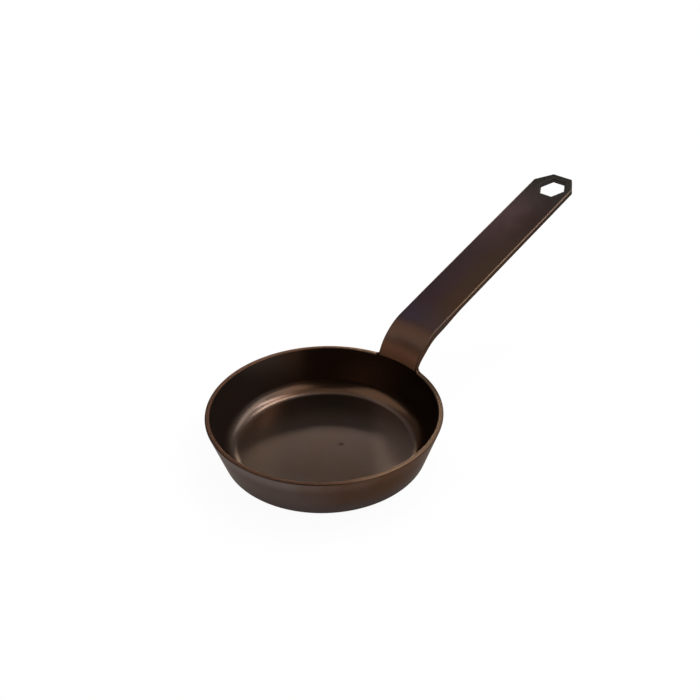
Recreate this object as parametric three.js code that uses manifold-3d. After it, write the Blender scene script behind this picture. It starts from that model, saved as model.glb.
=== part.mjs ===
// A small skillet: a flared bowl, a flat strap handle that stands up from its rim, and the weld between them.
// Millimetres, +Z up. The origin is the centre of the foot's underside, and the handle points along +X.

import * as THREE from 'three';
import { mergeVertices } from 'three/addons/utils/BufferGeometryUtils.js';
import Module from 'manifold-3d';

// Bowl
const rimRadius = 76; // outside of the rim
const panHeight = 31.6;
const wallFlare = THREE.MathUtils.degToRad(19); // from upright
const wallThickness = 3.2;
const floorThickness = 3.5;
const coveRadius = 11; // inside, between wall and floor
const footCornerRadius = 4; // outside, between wall and foot
const rimEdgeRadius = 1;

// Handle
const handleWidth = 32.9;
const handleThickness = 4;
const handleRise = THREE.MathUtils.degToRad(17.2); // straight part, from level
const rootLean = THREE.MathUtils.degToRad(14); // from upright
const rootHeight = 0.5; // straight stretch below the bend
const bendRadius = 31.4; // of the upper face
const strapLength = 160.1; // from the bend to the shoulders of the end
const tipLength = 11; // from the shoulders to the flat end
const tipWidth = 15.8; // of the flat end
const bendThickness = 5.7; // the root swells from the rim's width to this at the bend
const bendTaperLength = 28; // past the bend, where the extra thickness runs out
const rootFilletRadius = 3;
const holeCornerRadius = 10; // hexagonal hanging hole, middle to corner
const holeSetback = 14; // from its middle to the flat end
const endOffset = 1.5; // of the flat end and the hole, from the strap's middle line towards -Y

// Weld
const weldLeg = 3.5; // above and below the rim
const weldThrow = 1.2; // how far the bead stands proud
const weldToe = 0.3; // thickness where it runs out
const weldSetback = 1.5; // from the handle's sides
const seamGap = 0.3; // between pieces that touch

// Facets
const turnSteps = 96;
const cornerSteps = 4;
const coveSteps = 8;
const filletSteps = 5;
const bendSteps = 12;
const taperSteps = 4;
const widthSteps = 8;
const beadSteps = 6;
const hexagonSides = 6;
const leastRowSpacing = 0.1;
const cutOvershoot = 6; // of the hole's cutter, past each face

// Finish
const seasonedMetalness = 0.6;

// Values that follow from these
const rimWidth = wallThickness / Math.cos(wallFlare);
const edgeCutback = rimEdgeRadius * (Math.tan(wallFlare) + 1 / Math.cos(wallFlare) - 1);
const rimCornerRadius = rimRadius + edgeCutback; // before its edge is rounded
const rimInnerRadius = rimCornerRadius - rimWidth;
const rootSteepness = Math.PI / 2 - rootLean;
const bendLength = bendRadius * (rootSteepness - handleRise);
const bendEnd = rootHeight + bendLength;
const shoulder = bendEnd + strapLength;
const handleEnd = shoulder + tipLength;
const holeCentre = handleEnd - holeSetback;

const wasm = await Module();
wasm.setup();

function manifoldOf(geometry) {
  const bare = geometry.clone();
  bare.deleteAttribute('normal');
  bare.deleteAttribute('uv');
  const merged = mergeVertices(bare);
  const vertProperties = merged.getAttribute('position').array;
  const triVerts = new Uint32Array(merged.getIndex().array);
  return new wasm.Manifold(new wasm.Mesh({ numProp: 3, vertProperties, triVerts }));
}

function geometryOf(manifold) {
  const { vertProperties, triVerts } = manifold.getMesh();
  const geometry = new THREE.BufferGeometry();
  geometry.setAttribute('position', new THREE.BufferAttribute(vertProperties, 3));
  geometry.setIndex(new THREE.BufferAttribute(triVerts, 1));
  geometry.computeVertexNormals();
  return geometry;
}

// Points of an arc of that radius, tangent to both sides of the corner from before to after
function roundedCorner(before, corner, after, radius, steps) {
  const back = before.clone().sub(corner).normalize();
  const ahead = after.clone().sub(corner).normalize();
  const halfAngle = Math.acos(back.dot(ahead)) / 2;
  const middle = back.clone().add(ahead).normalize();
  const centre = corner.clone().addScaledVector(middle, radius / Math.sin(halfAngle));
  const tangentLength = radius / Math.tan(halfAngle);
  const start = corner.clone().addScaledVector(back, tangentLength).sub(centre);
  const turn = Math.sign(ahead.cross(back)) * (Math.PI - 2 * halfAngle);
  const points = [];
  for (let step = 0; step <= steps; step += 1) {
    const spoke = start.clone().rotateAround(new THREE.Vector2(), (turn * step) / steps);
    points.push(spoke.add(centre));
  }
  return points;
}

// A box whose every point goes where place(row, v, w) says, with one row for each station along it
function shapedBox(stations, vSteps, place) {
  const rows = stations.length - 1;
  const box = new THREE.BoxGeometry(1, 1, 1, rows, vSteps, 1);
  const position = box.getAttribute('position');
  const point = new THREE.Vector3();
  for (let i = 0; i < position.count; i += 1) {
    point.fromBufferAttribute(position, i).addScalar(0.5);
    const station = stations[Math.round(point.x * rows)];
    const placed = place(station, point.y, point.z);
    position.setXYZ(i, placed.x, placed.y, placed.z);
  }
  box.computeVertexNormals();
  return box;
}

function bowlGeometry() {
  const inwardPerRise = Math.tan(wallFlare);
  const axisBelow = new THREE.Vector2(0, 0);
  const foot = new THREE.Vector2(rimCornerRadius - panHeight * inwardPerRise, 0);
  const rimOuter = new THREE.Vector2(rimCornerRadius, panHeight);
  const rimInner = new THREE.Vector2(rimInnerRadius, panHeight);
  const floorEdge = new THREE.Vector2(
    rimInnerRadius - (panHeight - floorThickness) * inwardPerRise,
    floorThickness,
  );
  const axisAbove = new THREE.Vector2(0, floorThickness);
  const profile = [
    axisBelow,
    ...roundedCorner(axisBelow, foot, rimOuter, footCornerRadius, cornerSteps),
    ...roundedCorner(foot, rimOuter, rimInner, rimEdgeRadius, cornerSteps),
    ...roundedCorner(rimOuter, rimInner, floorEdge, rimEdgeRadius, cornerSteps),
    ...roundedCorner(rimInner, floorEdge, axisAbove, coveRadius, coveSteps),
    axisAbove,
  ];
  return new THREE.LatheGeometry(profile, turnSteps).rotateX(Math.PI / 2);
}

// The upper face's middle line, at a length along it from the rim
function handleLine(along) {
  if (along <= rootHeight) {
    const x = rimInnerRadius + along * Math.cos(rootSteepness);
    const z = panHeight + seamGap + along * Math.sin(rootSteepness);
    return { x, z, steepness: rootSteepness };
  }
  const bendStart = handleLine(rootHeight);
  const turned = Math.min(along - rootHeight, bendLength) / bendRadius;
  const steepness = rootSteepness - turned;
  const straight = Math.max(along - bendEnd, 0);
  const x = bendStart.x + bendRadius * (Math.sin(rootSteepness) - Math.sin(steepness));
  const z = bendStart.z + bendRadius * (Math.cos(steepness) - Math.cos(rootSteepness));
  return {
    x: x + straight * Math.cos(steepness),
    z: z + straight * Math.sin(steepness),
    steepness,
  };
}

// From 0 at the shoulders to 1 at the flat end
function endShare(along) {
  return Math.max(along - shoulder, 0) / tipLength;
}

function handleHalfWidth(along) {
  const half = handleWidth / 2;
  if (along < rootFilletRadius) {
    const rest = rootFilletRadius - along;
    return half + rootFilletRadius - Math.sqrt(rootFilletRadius ** 2 - rest ** 2);
  }
  return THREE.MathUtils.lerp(half, tipWidth / 2, endShare(along));
}

function handleDepth(along) {
  const swollen = THREE.MathUtils.smoothstep(along, 0, bendEnd / 2);
  const slimmed = THREE.MathUtils.smoothstep(along, bendEnd, bendEnd + bendTaperLength);
  const rootDepth = THREE.MathUtils.lerp(rimWidth, bendThickness, swollen);
  return THREE.MathUtils.lerp(rootDepth, handleThickness, slimmed);
}

// The root follows the round rim and its foot is level, and both fade out along it
function handlePoint(along, across, depthShare) {
  const line = handleLine(along);
  const depth = depthShare * handleDepth(along);
  const level = 1 - THREE.MathUtils.smoothstep(along, 0, rootFilletRadius);
  const downward = THREE.MathUtils.lerp(line.steepness, Math.PI / 2, level);
  const y = handleHalfWidth(along) * across - endOffset * endShare(along);
  const ring = rimInnerRadius + depth;
  const roundness = 1 - THREE.MathUtils.smoothstep(along, 0, bendEnd);
  const roundedBack = roundness * (ring - Math.sqrt(ring ** 2 - y ** 2));
  const x = line.x + depth * Math.sin(downward) - roundedBack;
  const z = line.z - depth * Math.cos(downward);
  return new THREE.Vector3(x, y, z);
}

function handleStations() {
  const rows = [rootHeight, bendEnd, shoulder, handleEnd];
  for (let step = 0; step <= filletSteps; step += 1) {
    const turned = (Math.PI / 2) * (step / filletSteps);
    rows.push(rootFilletRadius * (1 - Math.cos(turned)));
  }
  for (let step = 1; step < bendSteps; step += 1) {
    rows.push(rootHeight + (bendLength * step) / bendSteps);
  }
  for (let step = 1; step <= taperSteps; step += 1) {
    rows.push(bendEnd + (bendTaperLength * step) / taperSteps);
  }
  rows.sort((a, b) => a - b);
  return rows.filter((row, i) => i === 0 || row - rows[i - 1] > leastRowSpacing);
}

function handleGeometry() {
  const blank = shapedBox(handleStations(), widthSteps, (along, v, w) =>
    handlePoint(along, 2 * v - 1, 1 - w),
  );
  const middle = handlePoint(holeCentre, 0, 0.5);
  const cutDepth = handleThickness + 2 * cutOvershoot;
  const hole = new THREE.CylinderGeometry(holeCornerRadius, holeCornerRadius, cutDepth, hexagonSides)
    .rotateX(Math.PI / 2)
    .rotateY(-handleRise)
    .translate(middle.x, -endOffset, middle.z);
  return geometryOf(manifoldOf(blank).subtract(manifoldOf(hole)));
}

// The outside of the joint: the wall's cone below the rim, and the back of the handle's root above it
function jointBack(y, rise) {
  if (rise > 0) {
    return handlePoint(rise, y / handleHalfWidth(rise), 1);
  }
  const radius = rimCornerRadius + rise * Math.tan(wallFlare);
  return new THREE.Vector3(Math.sqrt(radius ** 2 - y ** 2), y, panHeight + rise);
}

// A low bead across the joint, rounded both ways
function weldGeometry() {
  const halfLength = handleWidth / 2 - weldSetback;
  const shares = [];
  for (let step = 0; step <= widthSteps; step += 1) {
    shares.push(THREE.MathUtils.lerp(-1, 1, step / widthSteps));
  }
  return shapedBox(shares, beadSteps, (share, v, w) => {
    const back = jointBack(share * halfLength, (2 * v - 1) * weldLeg);
    const crown = Math.sqrt(1 - share ** 2) * Math.sin(Math.PI * v);
    const proud = seamGap + w * (weldToe + weldThrow * crown);
    const outwards = new THREE.Vector3(back.x, back.y, 0).normalize();
    return back.addScaledVector(outwards, proud);
  });
}

function piece(name, geometry, color, roughness) {
  const material = new THREE.MeshStandardMaterial({ color, roughness, metalness: seasonedMetalness });
  const mesh = new THREE.Mesh(geometry, material);
  mesh.name = name;
  return mesh;
}

const skillet = new THREE.Group();
skillet.name = 'skillet';
skillet.add(piece('pan_bowl', bowlGeometry(), 0x3d2f28, 0.35));
skillet.add(piece('handle', handleGeometry(), 0x3a2c2b, 0.45));
skillet.add(piece('root_weld', weldGeometry(), 0x45311f, 0.5));

export default skillet;
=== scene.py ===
# %% [markdown]
# # A small seasoned iron skillet
#
# The skillet has three pieces: a round bowl, a flat strap handle and the bead that joins them. Their sizes
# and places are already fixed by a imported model, so this lesson never moves or resizes anything. It builds
# finer meshes in the same places, gives them a seasoned iron finish, and lights them as a product
# photograph is lit.

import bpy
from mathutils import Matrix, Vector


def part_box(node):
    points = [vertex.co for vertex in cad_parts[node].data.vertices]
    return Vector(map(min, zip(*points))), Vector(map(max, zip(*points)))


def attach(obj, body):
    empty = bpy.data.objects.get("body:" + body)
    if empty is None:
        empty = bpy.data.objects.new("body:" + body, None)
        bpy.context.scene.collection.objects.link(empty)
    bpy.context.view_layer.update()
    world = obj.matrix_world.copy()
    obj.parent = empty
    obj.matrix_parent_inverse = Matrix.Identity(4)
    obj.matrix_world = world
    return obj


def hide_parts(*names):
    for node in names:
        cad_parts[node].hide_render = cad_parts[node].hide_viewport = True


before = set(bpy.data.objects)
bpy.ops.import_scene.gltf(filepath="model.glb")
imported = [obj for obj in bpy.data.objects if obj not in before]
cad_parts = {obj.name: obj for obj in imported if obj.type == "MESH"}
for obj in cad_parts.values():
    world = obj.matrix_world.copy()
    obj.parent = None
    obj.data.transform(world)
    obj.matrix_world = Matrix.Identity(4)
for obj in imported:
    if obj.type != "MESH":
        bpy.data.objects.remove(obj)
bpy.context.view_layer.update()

# %% Import the tools
import math

import bmesh
import bpy
from mathutils import Matrix, Vector

MM = 0.001
print("one millimetre is", MM, "of Blender's units")

# %% [markdown]
# ## The camera
#
# The photograph looks down on the pan from the front left, with the handle pointing away to the right. The
# rim, the foot and the straight handle are known sizes, so a camera can be fitted to where they lie in the
# picture. Setting the camera first means that every piece can be compared with the photograph as soon as it
# is made. A rotation matrix built from three directions is easier to read here than three Euler angles,
# because the camera also rolls a little.

# %% Camera
view_turn = math.radians(46.96)
view_dip = math.radians(32.58)
view_roll = math.radians(-1.04)
camera_place = Vector((-425.1, -420.5, 458.0)) * MM
focal_pixels = 1150
image_pixels = 700
sensor_width = 36

ahead = Vector((math.sin(view_turn), math.cos(view_turn), 0)) * math.cos(view_dip)
ahead.z = -math.sin(view_dip)
level_right = Vector((math.cos(view_turn), -math.sin(view_turn), 0))
level_up = level_right.cross(ahead)
right = math.cos(view_roll) * level_right + math.sin(view_roll) * level_up
up = right.cross(ahead)

camera = bpy.data.objects.new("camera", bpy.data.cameras.new("camera"))
camera.data.sensor_width = sensor_width
camera.data.lens = focal_pixels * sensor_width / image_pixels
camera_turn = Matrix((right, up, -ahead)).transposed().to_4x4()
camera.matrix_world = Matrix.Translation(camera_place) @ camera_turn
bpy.context.scene.collection.objects.link(camera)
bpy.context.scene.camera = camera
print("lens", round(camera.data.lens, 1), "mm at", [round(x, 3) for x in camera.location])

# %% [markdown]
# ## The last step of every piece
#
# A bmesh is Blender's mesh while it is being worked on. When a piece is finished, its bmesh is written to a
# mesh, the mesh to an object, and the object is tied to the body that it rides on. All three pieces go
# through the same last step, so it is one function. Weighted normals keep large flat faces flat in the
# reflections where they meet a rounded edge, which matters on a glossy pan.

# %% Finish a piece
merge_distance = 0.001 * MM


def finish_piece(bm, name, node):
    bmesh.ops.remove_doubles(bm, verts=bm.verts, dist=merge_distance)
    bmesh.ops.recalc_face_normals(bm, faces=bm.faces)
    for face in bm.faces:
        face.smooth = True
    mesh = bpy.data.meshes.new(name)
    bm.to_mesh(mesh)
    bm.free()
    piece = bpy.data.objects.new(name, mesh)
    bpy.context.scene.collection.objects.link(piece)
    piece.modifiers.new("flat faces stay flat", "WEIGHTED_NORMAL")
    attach(piece, "root")
    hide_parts(node)
    size = [round(x / MM, 1) for x in piece.dimensions]
    print(name, "has", len(mesh.polygons), "faces, size", size, "mm")
    return piece


print("vertices within", merge_distance, "m of each other are merged")

# %% [markdown]
# ## The bowl
#
# On the real pan the bowl is a turned or cast shape: a flat floor, a wide cove, a flared wall of even
# thickness and a softly rounded rim. Anything round about an axis is a section spun round that axis. So the
# section is drawn with a corner where each rounding goes, the corners are rounded by bevelling their
# vertices, and the outline is spun. Drawing sharp corners first keeps the section down to the sizes that a
# maker would measure. A bevelled corner bulges a hair past a true arc, so the rim is drawn that much inside
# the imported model's box.

# %% Bowl sizes
bowl_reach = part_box("pan_bowl")[1]
corner_bulge = 0.03 * MM
rim_radius = bowl_reach.x - corner_bulge
pan_height = bowl_reach.z
wall_flare = math.radians(19)
wall_thickness = 3.2 * MM
floor_thickness = 3.5 * MM
cove_radius = 11 * MM
foot_corner_radius = 4 * MM
rim_edge_radius = 1 * MM

rim_width = wall_thickness / math.cos(wall_flare)
edge_cutback = rim_edge_radius * (math.tan(wall_flare) + 1 / math.cos(wall_flare) - 1)
rim_corner = rim_radius + edge_cutback
rim_inner = rim_corner - rim_width
print("rim", round(2 * rim_radius / MM, 1), "mm across and", round(rim_width / MM, 2), "mm wide")

# %% Bowl section
corner_segments = 8
cove_segments = 20


def round_corner(bm, corner, radius, segments):
    sides = [edge.other_vert(corner).co - corner.co for edge in corner.link_edges]
    setback = radius / math.tan(sides[0].angle(sides[1]) / 2)
    bmesh.ops.bevel(
        bm, geom=[corner], offset=setback, offset_type="OFFSET", segments=segments,
        profile=0.5, affect="VERTICES", clamp_overlap=False, material=-1,
    )


foot_edge = rim_corner - pan_height * math.tan(wall_flare)
floor_edge = rim_inner - (pan_height - floor_thickness) * math.tan(wall_flare)
section = [
    (0, 0), (foot_edge, 0), (rim_corner, pan_height), (rim_inner, pan_height),
    (floor_edge, floor_thickness), (0, floor_thickness),
]
bowl_mesh = bmesh.new()
corners = [bowl_mesh.verts.new((radius, 0, height)) for radius, height in section]
bowl_mesh.faces.new(corners)
round_corner(bowl_mesh, corners[1], foot_corner_radius, corner_segments)
round_corner(bowl_mesh, corners[2], rim_edge_radius, corner_segments)
round_corner(bowl_mesh, corners[3], rim_edge_radius, corner_segments)
round_corner(bowl_mesh, corners[4], cove_radius, cove_segments)
print("the rounded section has", len(bowl_mesh.verts), "points")

# %% Spin the section
spin_steps = 192
close_to_axis = 0.01 * MM

bmesh.ops.delete(bowl_mesh, geom=bowl_mesh.faces[:], context="FACES_ONLY")
on_axis = [edge for edge in bowl_mesh.edges if max(vert.co.x for vert in edge.verts) < close_to_axis]
bmesh.ops.delete(bowl_mesh, geom=on_axis, context="EDGES")
bmesh.ops.spin(
    bowl_mesh, geom=bowl_mesh.verts[:] + bowl_mesh.edges[:], cent=(0, 0, 0), axis=(0, 0, 1),
    dvec=(0, 0, 0), angle=2 * math.pi, steps=spin_steps, use_merge=True,
)
bowl = finish_piece(bowl_mesh, "skillet_bowl", "pan_bowl")

# %% [markdown]
# ## The handle
#
# The handle is a flat strap of iron. It stands up from the rim on two small fillets, bends outwards, and
# runs straight to an end cut as half a hexagon, with a hexagonal hole to hang it by. A smith would cut the
# blank flat, round its edges and then bend it, and the mesh is made in the same order. The blank lies in the
# XY plane, where the outline, the hole and the rounded edges are easy. Below the rim it goes on as a tongue,
# which later sinks into the wall.

# %% Handle sizes
handle_width = 32.9 * MM
handle_thickness = 4 * MM
handle_rise = math.radians(17.2)
root_steepness = math.radians(76)
root_blend = 1.2 * MM
root_run = 0.2 * MM
root_fillet = 3 * MM
bend_radius = 31.4 * MM
bend_taper = 28 * MM
strap_length = 160.1 * MM
tip_length = 11 * MM
tip_width = 15.8 * MM
hole_sides = 6
hole_radius = 10 * MM
hole_setback = 14 * MM
end_offset = 1.5 * MM
edge_radius = 0.9 * MM

half_width = handle_width / 2
bend_length = bend_radius * (root_steepness - handle_rise)
bend_end = root_blend / 2 + root_run + bend_length
shoulder = bend_end + strap_length
handle_end = shoulder + tip_length
hole_centre = handle_end - hole_setback
eye_start = hole_centre - hole_setback
print("the blank is", round(handle_end / MM, 1), "mm long from the rim")

# %% Eye of the handle
blank = bmesh.new()
eye = [blank.verts.new((x, y, 0)) for x, y in [
    (eye_start, half_width), (shoulder, half_width), (handle_end, tip_width / 2 - end_offset),
    (handle_end, -tip_width / 2 - end_offset), (shoulder, -half_width), (eye_start, -half_width),
]]
eye_edges = [blank.edges.new((eye[i - 1], eye[i])) for i in range(len(eye))]
hole = bmesh.ops.create_circle(
    blank, segments=hole_sides, radius=hole_radius,
    matrix=Matrix.Translation((hole_centre, -end_offset, 0)),
)
hole_edges = list({edge for vert in hole["verts"] for edge in vert.link_edges})
bmesh.ops.bridge_loops(blank, edges=eye_edges + hole_edges)
print("the eye has", len(blank.faces), "faces round a hole", round(2 * hole_radius / MM), "mm across")

# %% Strap, root and tongue
fillet_overrun = 0.3 * MM
tongue_length = 7 * MM
tongue_inset = 4 * MM

root_corners = [
    (0, half_width), (0, half_width + root_fillet + fillet_overrun),
    (-tongue_length, half_width - tongue_inset),
]
left_side = [blank.verts.new((x, y, 0)) for x, y in root_corners]
right_side = [blank.verts.new((x, -y, 0)) for x, y in root_corners]
blank.faces.new([eye[0], *left_side, *reversed(right_side), eye[-1]])
for corner in (left_side[0], right_side[0]):
    round_corner(blank, corner, root_fillet, corner_segments)
bmesh.ops.recalc_face_normals(blank, faces=blank.faces)

copied = bmesh.ops.extrude_face_region(blank, geom=blank.faces[:])
lower = [item for item in copied["geom"] if isinstance(item, bmesh.types.BMVert)]
bmesh.ops.translate(blank, verts=lower, vec=(0, 0, -handle_thickness))
bmesh.ops.recalc_face_normals(blank, faces=blank.faces)
print("the flat blank has", len(blank.faces), "faces")

# %% Rounded edges
edge_segments = 4
sharp_turn = math.radians(60)
close_to_level = 0.01 * MM

sharp_edges = [
    edge for edge in blank.edges
    if abs(edge.verts[0].co.z - edge.verts[1].co.z) < close_to_level
    and min(vert.co.x for vert in edge.verts) > -close_to_level
    and edge.calc_face_angle() > sharp_turn
]
rounded = bmesh.ops.bevel(
    blank, geom=sharp_edges, offset=edge_radius, offset_type="OFFSET", segments=edge_segments,
    profile=0.5, affect="EDGES", clamp_overlap=False, material=-1,
)
print("rounded", len(sharp_edges), "edges into", len(rounded["faces"]), "faces")

# %% [markdown]
# ### Rows to bend along, and worn edges
#
# A flat face can't bend, so the blank is first cut into rows: close together in the bend, wider apart where
# it only tapers. The rounded edges of a real handle are rubbed by cloths and hooks until paler metal shows.
# While the blank is flat, how far a point lies round an edge is easy to work out, so the wear is stored here
# as an attribute of the vertices, which the finish reads later. It is strongest in the middle of the
# rounding, and fades out at the end of the handle.

# %% Rows to bend along
bend_row = 1.2 * MM
taper_row = 3 * MM
tongue_row = 1.4 * MM
width_row = 3 * MM
row_margin = 2 * MM
lengthwise = Vector((1, 0, 0))
widthwise = Vector((0, 1, 0))


def cut_rows(bm, start, stop, spacing, normal):
    steps = max(1, round((stop - start) / spacing))
    for step in range(steps + 1):
        place = normal * (start + (stop - start) * step / steps)
        bmesh.ops.bisect_plane(
            bm, geom=bm.verts[:] + bm.edges[:] + bm.faces[:], dist=merge_distance,
            plane_co=place, plane_no=normal,
        )


cut_rows(blank, 0, bend_end, bend_row, lengthwise)
cut_rows(blank, bend_end + row_margin, bend_end + bend_taper, taper_row, lengthwise)
cut_rows(blank, -tongue_length + tongue_row, -tongue_row, tongue_row, lengthwise)
cut_rows(blank, -half_width + row_margin, half_width - row_margin, width_row, widthwise)
print("cut into rows, the blank has", len(blank.faces), "faces")


# %% Worn edges
def ease(value, start, stop):
    # Goes from 0 to 1, gently at both ends
    share = min(max((value - start) / (stop - start), 0), 1)
    return share * share * (3 - 2 * share)


wear = blank.verts.layers.float.new("wear")
for vert in blank.verts:
    below_face = min(-vert.co.z, handle_thickness + vert.co.z)
    turned = math.acos(1 - min(max(below_face / edge_radius, 0), 1)) / (math.pi / 2)
    on_side = abs(vert.co.y) > half_width - 2 * edge_radius
    rubbed = on_side * (1 - ease(vert.co.x, shoulder, handle_end))
    vert[wear] = rubbed * (1 - abs(2 * turned - 1))
print(sum(vert[wear] > 0 for vert in blank.verts), "vertices are worn")

# %% [markdown]
# ### Bending the blank
#
# The upper face of the handle follows one line: up the inside of the wall, round to the steeper root, round
# the bend, and straight along the strap. Each stretch of it is a length and the angle that it turns by, so
# one short loop can walk along it. Every vertex is then carried from its place on the flat blank to the same
# length along that line. Curves and modifiers can bend a mesh too, but here the thickness changes on the
# way, the back of the root is round like the rim, and the tongue has to sink into the wall, so that the
# inside of the bowl runs up into the handle without a line.

# %% Line of the upper face
wall_steepness = math.pi / 2 - wall_flare
line_stretches = [
    (tongue_length - root_blend / 2, 0),
    (root_blend, root_steepness - wall_steepness),
    (root_run, 0),
    (bend_length, handle_rise - root_steepness),
    (strap_length + tip_length, 0),
]


def upper_line(along):
    heading = wall_steepness
    rim_edge = Vector((rim_inner, 0, pan_height))
    place = rim_edge - tongue_length * Vector((math.cos(heading), 0, math.sin(heading)))
    left = along + tongue_length
    for length, turn in line_stretches:
        step = min(left, length)
        turned = turn * step / length
        chord = step * math.sin(turned / 2) / (turned / 2) if turned else step
        middle = heading + turned / 2
        place = place + chord * Vector((math.cos(middle), 0, math.sin(middle)))
        heading += turned
        left -= step
    return place, heading


print("the line ends at", [round(x / MM, 1) for x in upper_line(handle_end)[0]], "mm")

# %% Bend the blank
bend_thickness = 5.7 * MM
root_relief = 0.3 * MM
root_thickness = rim_width - root_relief
tongue_sink = 0.25 * MM
tongue_stand = 0.04 * MM
tongue_fade = 1 * MM


def handle_depth(along):
    swollen = ease(along, 0, bend_end / 2)
    slimmed = ease(along, bend_end, bend_end + bend_taper)
    lower_depth = root_thickness + (bend_thickness - root_thickness) * swollen
    return lower_depth + (handle_thickness - lower_depth) * slimmed


for vert in blank.verts:
    along, across = vert.co.x, vert.co.y
    share = -vert.co.z / handle_thickness
    place, heading = upper_line(along)
    level = 1 - ease(along, 0, root_fillet)
    downward = heading + (math.pi / 2 - heading) * level
    in_wall = ease(-along, 0, tongue_length) + ease(abs(across), half_width, half_width + root_fillet)
    sink = (tongue_sink * in_wall - tongue_stand) * ease(-along, -tongue_fade, 0)
    depth = share * handle_depth(along)
    ring = min(place.x, rim_inner) + depth
    roundness = 1 - ease(along, 0, bend_end)
    rounded_back = roundness * (ring - math.sqrt(ring ** 2 - across ** 2))
    x = place.x + depth * math.sin(downward) - rounded_back + sink * (1 - share)
    z = place.z - depth * math.cos(downward)
    vert.co = (x, across, z)
handle = finish_piece(blank, "skillet_handle", "handle")

# %% [markdown]
# ## The weld
#
# Outside, under the handle, a low bead closes the joint between the strap and the rim. It was dressed
# smooth, so it is a soft swelling and not a row of ripples. A grid is the simplest start: its rows run
# across the joint, each vertex is laid on the back of the joint and lifted by a crown that is highest in the
# middle, and the sheet is then extruded inwards so that it is a closed solid. Its edge lies a little inside
# the metal, so that no gap shows there.

# %% Back of the joint
weld_leg = 3.5 * MM
weld_setback = 1.5 * MM
weld_half = half_width - weld_setback


def joint_back(across, rise):
    if rise > 0:
        line_x, _, line_z = upper_line(rise)[0]
        ring = rim_inner + handle_depth(rise)
        return Vector((line_x - rim_inner + math.sqrt(ring ** 2 - across ** 2), across, line_z))
    radius = rim_corner + rise * math.tan(wall_flare)
    return Vector((math.sqrt(radius ** 2 - across ** 2), across, pan_height + rise))


print("the bead is", round(2 * weld_half / MM, 1), "mm wide and", round(2 * weld_leg / MM, 1), "mm tall")

# %% Weld mesh
weld_columns = 28
weld_rows = 12
weld_stand = 1.5 * MM
weld_bite = 0.1 * MM
weld_body = 1 * MM

weld_mesh = bmesh.new()
bmesh.ops.create_grid(weld_mesh, x_segments=weld_columns, y_segments=weld_rows, size=1)
for vert in weld_mesh.verts:
    share, rise = vert.co.x, vert.co.y
    back = joint_back(share * weld_half, rise * weld_leg)
    crown = math.sqrt(max(1 - share ** 2, 0)) * (1 - rise ** 2)
    outwards = Vector((back.x, back.y, 0)).normalized()
    vert.co = back + outwards * (weld_stand * crown - weld_bite)
copied = bmesh.ops.extrude_face_region(weld_mesh, geom=weld_mesh.faces[:])
inner = [item for item in copied["geom"] if isinstance(item, bmesh.types.BMVert)]
bmesh.ops.translate(weld_mesh, verts=inner, vec=(-weld_body, 0, 0))
weld = finish_piece(weld_mesh, "skillet_root_weld", "root_weld")

# %% [markdown]
# ## Seasoned iron
#
# Seasoning is oil baked onto bare iron until it hardens into a thin dark film. Under it the metal still
# reflects, but only a few percent of the light comes back, tinted brown where the film is thin and purple
# where the heat was higher. So the finish is a metal with a very dark colour: what the eye sees is mostly
# the room, dimmed and browned. The colours are written as sRGB hex, as a colour picker shows them, and one
# function turns them to the linear values that the shader needs. Another adds a node with its settings and
# links, and gives back the node's outputs.

# %% Material helpers
def linear(hex_colour):
    channels = [int(hex_colour[i:i + 2], 16) / 255 for i in (1, 3, 5)]
    return [c / 12.92 if c <= 0.04045 else ((c + 0.055) / 1.055) ** 2.4 for c in channels] + [1]


def add_node(tree, kind, settings, links=None):
    node = tree.nodes.new(kind)
    for name, value in settings.items():
        if isinstance(name, int) or name in node.inputs:
            node.inputs[name].default_value = value
        else:
            setattr(node, name, value)
    for name, source in (links or {}).items():
        tree.links.new(source, node.inputs[name])
    return node.outputs


def new_material(name):
    material = bpy.data.materials.new(name)
    material.use_nodes = True
    material.node_tree.nodes.clear()
    return material, material.node_tree


print("the hex colour #808080 is", round(linear("#808080")[0], 3), "in linear light")

# %% [markdown]
# ### One film over another
#
# The film on a pan is built up coat by coat, and each coat covers only some places. The finishes here are
# written in the same way. A film is its colour, its roughness and its share of bare metal, under the names
# that the shader gives them. One film then covers another where some measure of the place, such as the
# height, goes from the start of a span to its end, with soft edges. A colour ramp could do this for one
# measure at a time, but coats that follow height, radius and patches can lie on each other in any order.

# %% Cover one film with another
# For each property: the kind of mix, the sockets of the lower and the upper film, and the output
mix_sockets = {
    "Base Color": ("RGBA", 6, 7, 2),
    "Roughness": ("FLOAT", 2, 3, 0),
    "Metallic": ("FLOAT", 2, 3, 0),
}


def cover(tree, under, place, span, over):
    soft_edge = {"interpolation_type": "SMOOTHSTEP", "From Min": span[0], "From Max": span[1]}
    share = add_node(tree, "ShaderNodeMapRange", soft_edge, {"Value": place})["Result"]
    film = dict(under)
    for name, value in over.items():
        kind, lower_socket, upper_socket, mixed = mix_sockets[name]
        settings = {"data_type": kind}
        links = {0: share}
        for socket, source in ((lower_socket, under[name]), (upper_socket, value)):
            if isinstance(source, bpy.types.NodeSocket):
                links[socket] = source
            else:
                settings[socket] = source
        film[name] = add_node(tree, "ShaderNodeMix", settings, links)[mixed]
    return film


print("a film has", ", ".join(mix_sockets))

# %% [markdown]
# ### The bowl's finish
#
# The bowl's film isn't one colour. The cooking floor is scoured to a greyer brown in patches a thumb wide,
# and is painted paler towards two of its sides, which is painted light and not a change of film. The cove
# and the wall keep a thicker, browner film, which is greyer on one side. Outside, the film goes unevenly
# from grey on that side to orange brown on the other. A paler band under the rim is a painted reflection of
# the bright paper further out, and a darker foot is painted shade, for the shaded paper close to the pan.
# The top of the rim is rubbed to a dull bronze, painted paler towards the browner side as a painted
# highlight. A single texture could be painted for all of this, but the places are simple to say in words: a
# height, a distance from the axis, or how far a point lies towards the pan's browner side.

# %% Places on the bowl
brown_turn = math.radians(-47)
brown_side = Vector((math.cos(brown_turn), math.sin(brown_turn), 0))
patch_size = 18 * MM


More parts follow.
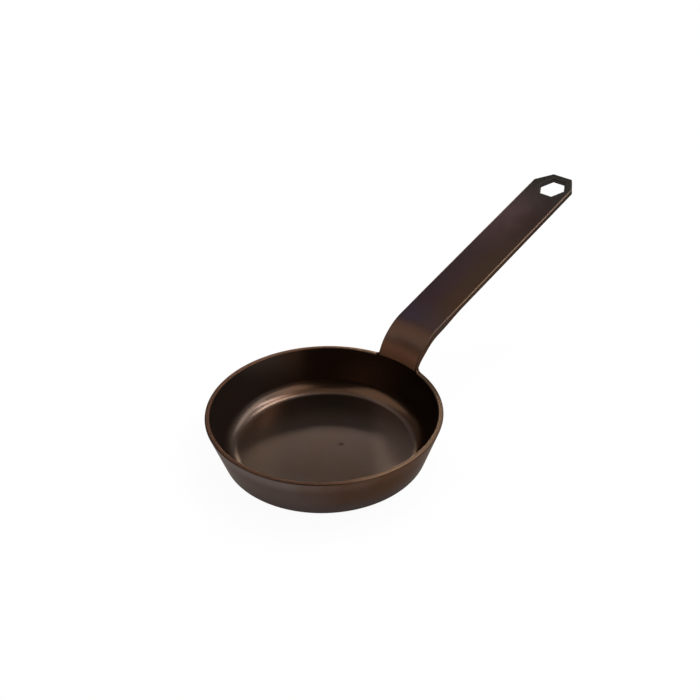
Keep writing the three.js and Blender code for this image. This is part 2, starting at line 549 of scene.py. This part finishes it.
def bowl_places(tree):
    coords = add_node(tree, "ShaderNodeTexCoord", {})["Object"]
    height = add_node(tree, "ShaderNodeSeparateXYZ", {}, {"Vector": coords})["Z"]
    towards = {"operation": "DOT_PRODUCT", 1: brown_side}
    browner = add_node(tree, "ShaderNodeVectorMath", towards, {0: coords})["Value"]
    flatten = {"operation": "MULTIPLY", 1: (1, 1, 0)}
    level_place = add_node(tree, "ShaderNodeVectorMath", flatten, {0: coords})["Vector"]
    radius = add_node(tree, "ShaderNodeVectorMath", {"operation": "LENGTH"}, {0: level_place})["Value"]
    unflare = {"operation": "MULTIPLY_ADD", 1: -math.tan(wall_flare)}
    foot_radius = add_node(tree, "ShaderNodeMath", unflare, {0: height, 2: radius})["Value"]
    clouds = {"Scale": 1 / patch_size, "Detail": 3}
    patches = add_node(tree, "ShaderNodeTexNoise", clouds, {"Vector": coords})["Fac"]
    return {
        "coords": coords, "height": height, "browner": browner,
        "foot_radius": foot_radius, "patches": patches,
    }


print("the browner side lies towards", [round(x, 2) for x in brown_side])

# %% Inside of the bowl
inside_gloss = 0.24
scoured_metal = 0.95
wall_metal = 0.9
patch_edges = (0.35, 0.65)
# Where the floor is painted paler at its sides: painted light, not a change of film
painted_light_brown_side = (26 * MM, 42 * MM)
painted_light_grey_side = (-22 * MM, -40 * MM)
wall_browning = (-55 * MM, -15 * MM)
cove_start = (floor_thickness, floor_thickness + 1.2 * MM)
pit_place = (7.1 * MM, -7.6 * MM, floor_thickness)
pit_shade_edge = (2.2 * MM, 1.1 * MM)


def inside_film(tree, place):
    floor = {"Base Color": linear("#44362d"), "Roughness": inside_gloss, "Metallic": scoured_metal}
    floor = cover(tree, floor, place["patches"], patch_edges, {"Base Color": linear("#453a35")})
    # Painted light: the floor is painted paler towards both of its sides
    floor = cover(tree, floor, place["browner"], painted_light_brown_side, {"Base Color": linear("#615149")})
    floor = cover(tree, floor, place["browner"], painted_light_grey_side, {"Base Color": linear("#504137")})
    wall = {"Base Color": linear("#594b43"), "Metallic": wall_metal}
    wall = cover(tree, wall, place["browner"], wall_browning, {"Base Color": linear("#453124")})
    inside = cover(tree, floor, place["height"], cove_start, wall)

    # One small casting pit, off the middle of the floor: its darkness is painted shade for its hollow,
    # and it is drawn larger than it is so that it shows
    away = {"operation": "DISTANCE", 1: pit_place}
    from_pit = add_node(tree, "ShaderNodeVectorMath", away, {0: place["coords"]})["Value"]
    return cover(tree, inside, from_pit, pit_shade_edge, {"Base Color": linear("#1e1713")})


print("the wall's film starts", round(cove_start[0] / MM, 1), "mm above the table")

# %% Outside of the bowl
outer_gloss = 0.46
patch_shift = 60 * MM
outer_browning = (-15 * MM, 70 * MM)
# A paler band under the rim: painted reflection of the bright paper further out
painted_reflection_band = (pan_height - 11 * MM, pan_height - 3 * MM)
# A darker foot: painted shade, for the shaded paper close to the pan
painted_shade_foot = (16 * MM, 1 * MM)


def outside_film(tree, place):
    shift = {"operation": "MULTIPLY_ADD", 1: patch_shift}
    uneven = add_node(tree, "ShaderNodeMath", shift, {0: place["patches"], 2: place["browner"]})["Value"]
    wall = {"Base Color": linear("#4b3f3d"), "Roughness": outer_gloss, "Metallic": wall_metal}
    wall = cover(tree, wall, uneven, outer_browning, {"Base Color": linear("#3f291b")})
    band = {"Base Color": linear("#5f5450")}
    band = cover(tree, band, uneven, outer_browning, {"Base Color": linear("#4b3223")})
    # Painted reflection under the rim, and painted shade at the foot
    wall = cover(tree, wall, place["height"], painted_reflection_band, band)
    return cover(tree, wall, place["height"], painted_shade_foot, {"Base Color": linear("#3c3434")})


print("the paler band starts", round(painted_reflection_band[0] / MM, 1), "mm above the table")

# %% Bowl finish
edge_tint = "#c8c0ba"
rim_gloss = 0.4
# The rubbed rim is painted paler towards the browner side: a painted highlight
rim_painted_highlight = (0, 45 * MM)
rubbed_rim = (pan_height - 0.9 * MM, pan_height - 0.3 * MM)
wall_middle = rim_inner + rim_width / 2 - pan_height * math.tan(wall_flare)
wall_split = (wall_middle - 0.5 * MM, wall_middle + 0.5 * MM)
grain_size = 0.9 * MM
grain_depth = 0.1 * MM
grain_strength = 0.02


def seasoned_bowl():
    # Oil baked on turned iron: the eye sees a dark, soft mirror that browns what it shows
    material, tree = new_material("seasoned iron, turned smooth")
    place = bowl_places(tree)
    outside = outside_film(tree, place)
    film = cover(tree, inside_film(tree, place), place["foot_radius"], wall_split, outside)
    rim = {"Base Color": linear("#412c21"), "Roughness": rim_gloss}
    # Painted highlight: the rim paler towards the browner side
    rim = cover(tree, rim, place["browner"], rim_painted_highlight, {"Base Color": linear("#5a4637")})
    film = cover(tree, film, place["height"], rubbed_rim, rim)

    # The grain of iron is finer than a pixel, so it is drawn coarser, to break up the reflections
    specks = {"Scale": 1 / grain_size}
    grain = add_node(tree, "ShaderNodeTexNoise", specks, {"Vector": place["coords"]})["Fac"]
    relief = {"Strength": grain_strength, "Distance": grain_depth}
    film["Normal"] = add_node(tree, "ShaderNodeBump", relief, {"Height": grain})["Normal"]
    edge = {"Specular Tint": linear(edge_tint)}
    shader = add_node(tree, "ShaderNodeBsdfPrincipled", edge, film)["BSDF"]
    add_node(tree, "ShaderNodeOutputMaterial", {}, {"Surface": shader})
    print(material.name, "has", len(tree.nodes), "nodes")
    return material


bowl.data.materials.append(seasoned_bowl())
weld.data.materials.append(bowl.data.materials[0])

# %% [markdown]
# ### The handle's finish
#
# Heat from the pan runs up the handle and colours its film in bands, as tempering colours run along a heated
# bar. The root is brown, the bend turns purple, and the strap fades to a dark grey at its end. The left edge
# ran hotter than the right, so each edge gets its own colour ramp along the length, and the left one covers
# the right one across the width. The worn edges come from the attribute that was stored on the blank. The
# face of the root has a thick, dull film with little bare metal in it, and below the rim the handle has the
# film of the wall that it runs into.

# %% Tempering colours
handle_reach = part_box("handle")[1].x
tempering = {
    "left": [
        (88 * MM, "#3f2a1f"), (97 * MM, "#362c34"), (118 * MM, "#35272a"),
        (168 * MM, "#372a2b"), (215 * MM, "#4b3a3a"), (248 * MM, "#302d2a"),
    ],
    "right": [
        (88 * MM, "#3f2a1f"), (97 * MM, "#3b2e2d"), (118 * MM, "#3d2c22"),
        (168 * MM, "#3a2c23"), (215 * MM, "#332725"), (248 * MM, "#302d2a"),
    ],
}


def tempered_edge(tree, along, bands):
    share = add_node(
        tree, "ShaderNodeMapRange", {"From Min": rim_inner, "From Max": handle_reach}, {"Value": along},
    )["Result"]
    colour = add_node(tree, "ShaderNodeValToRGB", {}, {"Fac": share})["Color"]
    points = colour.node.color_ramp.elements
    while len(points) < len(bands):
        points.new(1)
    for point, (reach, tint) in zip(points, bands):
        point.position = (reach - rim_inner) / (handle_reach - rim_inner)
        point.color = linear(tint)
    return colour


for side, bands in tempering.items():
    print("the", side, "edge has", len(bands), "colours, the last", round(bands[-1][0] / MM), "mm out")

# %% Handle finish
tint_patch = 12 * MM
tint_drift = (6 * MM, 10 * MM, 0)
tint_across = (-8 * MM, 16 * MM)
strap_gloss = (0.28, 0.36)
dull_metal = 0.15
# The dull film is painted lighter low down on the root: painted light that evens out the shade there
painted_light_low_root = (38 * MM, 45 * MM)
dull_root = (56 * MM, 38 * MM)
dull_face = (half_width - 0.2 * MM, half_width - 1.2 * MM)
below_rim = (pan_height + 0.8 * MM, pan_height - 0.4 * MM)


def handle_film(tree, coords):
    clouds = {"Scale": 1 / tint_patch, "Detail": 3}
    patches = add_node(tree, "ShaderNodeTexNoise", clouds, {"Vector": coords})["Fac"]
    drift = {"operation": "MULTIPLY_ADD", 1: tint_drift}
    drifted = add_node(tree, "ShaderNodeVectorMath", drift, {0: patches, 2: coords})["Vector"]
    place = add_node(tree, "ShaderNodeSeparateXYZ", {}, {"Vector": drifted})
    gloss = {"To Min": strap_gloss[0], "To Max": strap_gloss[1]}
    film = {
        "Base Color": tempered_edge(tree, place["X"], tempering["right"]),
        "Roughness": add_node(tree, "ShaderNodeMapRange", gloss, {"Value": patches})["Result"],
        "Metallic": scoured_metal,
    }
    left_edge = {"Base Color": tempered_edge(tree, place["X"], tempering["left"])}
    film = cover(tree, film, place["Y"], tint_across, left_edge)
    worn = add_node(tree, "ShaderNodeAttribute", {"attribute_name": "wear"})["Fac"]
    return cover(tree, film, worn, (0, 1), {"Base Color": linear("#5f4d3f")})


def seasoned_handle():
    # Oil baked on heated iron: the eye sees a dark sheen that turns from brown to purple to grey
    material, tree = new_material("seasoned iron, heat tinted")
    coords = add_node(tree, "ShaderNodeTexCoord", {})["Object"]
    place = add_node(tree, "ShaderNodeSeparateXYZ", {}, {"Vector": coords})
    film = handle_film(tree, coords)
    dull = {"Base Color": linear("#7f5640"), "Metallic": dull_metal}
    # Painted light: the dull film is lighter low down on the root
    dull = cover(tree, dull, place["Z"], painted_light_low_root, {"Base Color": linear("#513728")})
    root = cover(tree, film, place["Z"], dull_root, dull)
    sideways = add_node(tree, "ShaderNodeMath", {"operation": "ABSOLUTE"}, {0: place["Y"]})["Value"]
    film = cover(tree, film, sideways, dull_face, {name: root[name] for name in dull})
    wall = {"Base Color": linear("#453124"), "Roughness": inside_gloss, "Metallic": wall_metal}
    film = cover(tree, film, place["Z"], below_rim, wall)
    edge = {"Specular Tint": linear(edge_tint)}
    shader = add_node(tree, "ShaderNodeBsdfPrincipled", edge, film)["BSDF"]
    add_node(tree, "ShaderNodeOutputMaterial", {}, {"Surface": shader})
    print(material.name, "has", len(tree.nodes), "nodes")
    return material


handle.data.materials.append(seasoned_handle())

# %% [markdown]
# ## The studio
#
# Dark glossy metal shows its surroundings more than its own colour, so the studio is built for what the pan
# reflects. It stands on white paper in a dim room. Places are given as seen from the pan: a turn to the
# right from the direction away from the photograph's camera, and a height above the floor, both in degrees.

# %% Studio helpers
def stage_object(bm, name, material):
    mesh = bpy.data.meshes.new(name)
    bm.to_mesh(mesh)
    bm.free()
    thing = bpy.data.objects.new(name, mesh)
    thing.data.materials.append(material)
    bpy.context.scene.collection.objects.link(thing)
    print(name, "measures", [round(x, 2) for x in thing.dimensions], "m")
    return thing


def seen_from_pan(turn, height):
    heading = view_turn + math.radians(turn)
    rise = math.radians(height)
    level = math.cos(rise)
    return Vector((level * math.sin(heading), level * math.cos(heading), math.sin(rise)))


print("level and straight away from the camera is", [round(x, 2) for x in seen_from_pan(0, 0)])

# %% [markdown]
# ### White paper
#
# A product photograph is often taken on white paper that is lit until it shows no tone. More light would
# do that here too, but it would also wash out the pan. So the paper glows by itself, at a strength of 1,
# for the rays that look at it: straight from the camera, or by way of the metal. A small share of it
# stays plain paper, which takes the shadow of the pan.

# %% Floor
floor_half = 8
paper_glow = 0.95


def white_paper():
    # Matt paper: the eye sees an even white with a faint shadow
    material, tree = new_material("white paper")
    rays = add_node(tree, "ShaderNodeLightPath", {})
    seen = rays["Is Camera Ray"]
    for ray in ("Is Glossy Ray", "Is Transmission Ray"):
        seen = add_node(tree, "ShaderNodeMath", {"operation": "MAXIMUM"}, {0: seen, 1: rays[ray]})["Value"]
    weaken = {"operation": "MULTIPLY", 1: paper_glow}
    share = add_node(tree, "ShaderNodeMath", weaken, {0: seen})["Value"]
    paper = add_node(tree, "ShaderNodeBsdfDiffuse", {"Color": linear("#f4f4f4")})["BSDF"]
    glow = add_node(tree, "ShaderNodeEmission", {"Color": linear("#ffffff"), "Strength": 1})["Emission"]
    surface = add_node(tree, "ShaderNodeMixShader", {}, {0: share, 1: paper, 2: glow})["Shader"]
    add_node(tree, "ShaderNodeOutputMaterial", {}, {"Surface": surface})
    return material


floor_mesh = bmesh.new()
bmesh.ops.create_grid(floor_mesh, x_segments=1, y_segments=1, size=floor_half)
stage_object(floor_mesh, "floor", white_paper())

# %% [markdown]
# ### Dark cloths
#
# The inside of the wall is nearly black in the photograph, so there has to be something dark for it to
# reflect, in front of the pan and to its left. Flat boards would do, but a curved cloth stays at one
# distance from the pan: each is a column of points, spun part of the way round it. The camera doesn't see
# the cloths, so they may hang between it and the pan.

# %% Cloths
cloth_distance = 1.4
cloth_rows = 8
cloth_steps = 16


def grey_felt():
    # Felted wool: the eye sees only a dark grey in the reflections
    material, tree = new_material("dark grey felt")
    felt = add_node(tree, "ShaderNodeBsdfDiffuse", {"Color": linear("#3a3836")})["BSDF"]
    add_node(tree, "ShaderNodeOutputMaterial", {}, {"Surface": felt})
    return material


def hang_cloth(name, turn, spread, top, material):
    bm = bmesh.new()
    heights = [top * row / cloth_rows for row in range(cloth_rows + 1)]
    column = [bm.verts.new(cloth_distance * seen_from_pan(turn, height)) for height in heights]
    edges = [bm.edges.new(pair) for pair in zip(column, column[1:])]
    bmesh.ops.spin(
        bm, geom=column + edges, cent=(0, 0, 0), axis=(0, 0, -1), dvec=(0, 0, 0),
        angle=math.radians(spread), steps=cloth_steps,
    )
    cloth = stage_object(bm, name, material)
    cloth.visible_camera = False


felt = grey_felt()
hang_cloth("front_cloth", turn=158, spread=74, top=80, material=felt)
hang_cloth("left_cloth", turn=232, spread=70, top=32, material=felt)

# %% [markdown]
# ### Lamps
#
# Each lamp is there for one thing that it draws on the pan. Three narrow windows, low at the back, light
# the front of the cooking floor, and the wall hides them from the rest, which leaves a dark crescent
# behind. Two lamps high on the right draw the bright streak and the warm band in the cove. Wide, faint
# windows on the right, the front right and the left light the outside, and soft light from the ceiling
# fills what is left. A lamp is given by the angles that it covers, so its place and size follow from one
# distance. Its brightness is that of its surface, where 1 is the white of the paper.

# %% Lamps
lamp_distance = 1.6


def soft_light(name, turn, height, wide, tall, brightness):
    light = bpy.data.lights.new(name, "AREA")
    light.shape = "RECTANGLE"
    light.size = 2 * lamp_distance * math.tan(math.radians(wide) / 2)
    light.size_y = 2 * lamp_distance * math.tan(math.radians(tall) / 2)
    light.energy = brightness * math.pi * light.size * light.size_y
    holder = bpy.data.objects.new(name, light)
    holder.location = lamp_distance * seen_from_pan(turn, height)
    holder.rotation_euler = holder.location.to_track_quat("Z", "Y").to_euler()
    holder.visible_camera = False
    bpy.context.scene.collection.objects.link(holder)
    print(name, "measures", round(light.size, 2), "by", round(light.size_y, 2), "m")


soft_light("back_window", turn=-2, height=26, wide=13, tall=4.2, brightness=34)
soft_light("back_right_window", turn=10, height=26.5, wide=7, tall=4, brightness=8)
soft_light("back_left_window", turn=-14, height=24, wide=10, tall=4.5, brightness=6)
soft_light("right_lamp", turn=75, height=60, wide=10.5, tall=20, brightness=11)
soft_light("far_right_lamp", turn=33, height=62, wide=8.5, tall=15, brightness=15)
soft_light("right_window", turn=72, height=42, wide=56, tall=14, brightness=2.3)
soft_light("front_right_window", turn=130, height=52, wide=31, tall=34, brightness=2.1)
soft_light("left_window", turn=270, height=56, wide=50, tall=36, brightness=1.3)
soft_light("back_ceiling", turn=0, height=60, wide=30, tall=18, brightness=0.75)
soft_light("overhead_lamp", turn=0, height=88, wide=38, tall=38, brightness=0.5)

# %% [markdown]
# ### The room
#
# What no lamp or cloth covers is the room itself. It could be a box of walls, but a soft glow from the
# world gives the same reflections with nothing to build. It is a little brighter low down, near the paper.

# %% World
low_glow = 0.42
high_glow = 0.3
glow_change = (0.1, 0.3)

world = bpy.data.worlds.new("studio")
world.use_nodes = True
room = world.node_tree
room.nodes.clear()
direction = add_node(room, "ShaderNodeTexCoord", {})["Generated"]
upward = add_node(room, "ShaderNodeSeparateXYZ", {}, {"Vector": direction})["Z"]
fade = {
    "From Min": glow_change[0], "From Max": glow_change[1], "To Min": low_glow, "To Max": high_glow,
}
strength = add_node(room, "ShaderNodeMapRange", fade, {"Value": upward})["Result"]
walls = add_node(room, "ShaderNodeBackground", {"Color": linear("#ffffff")}, {"Strength": strength})
add_node(room, "ShaderNodeOutputWorld", {}, {"Surface": walls["Background"]})
bpy.context.scene.world = world
bpy.context.scene.view_settings.view_transform = "Standard"
print("the room glows at", low_glow, "low down and", high_glow, "higher up")
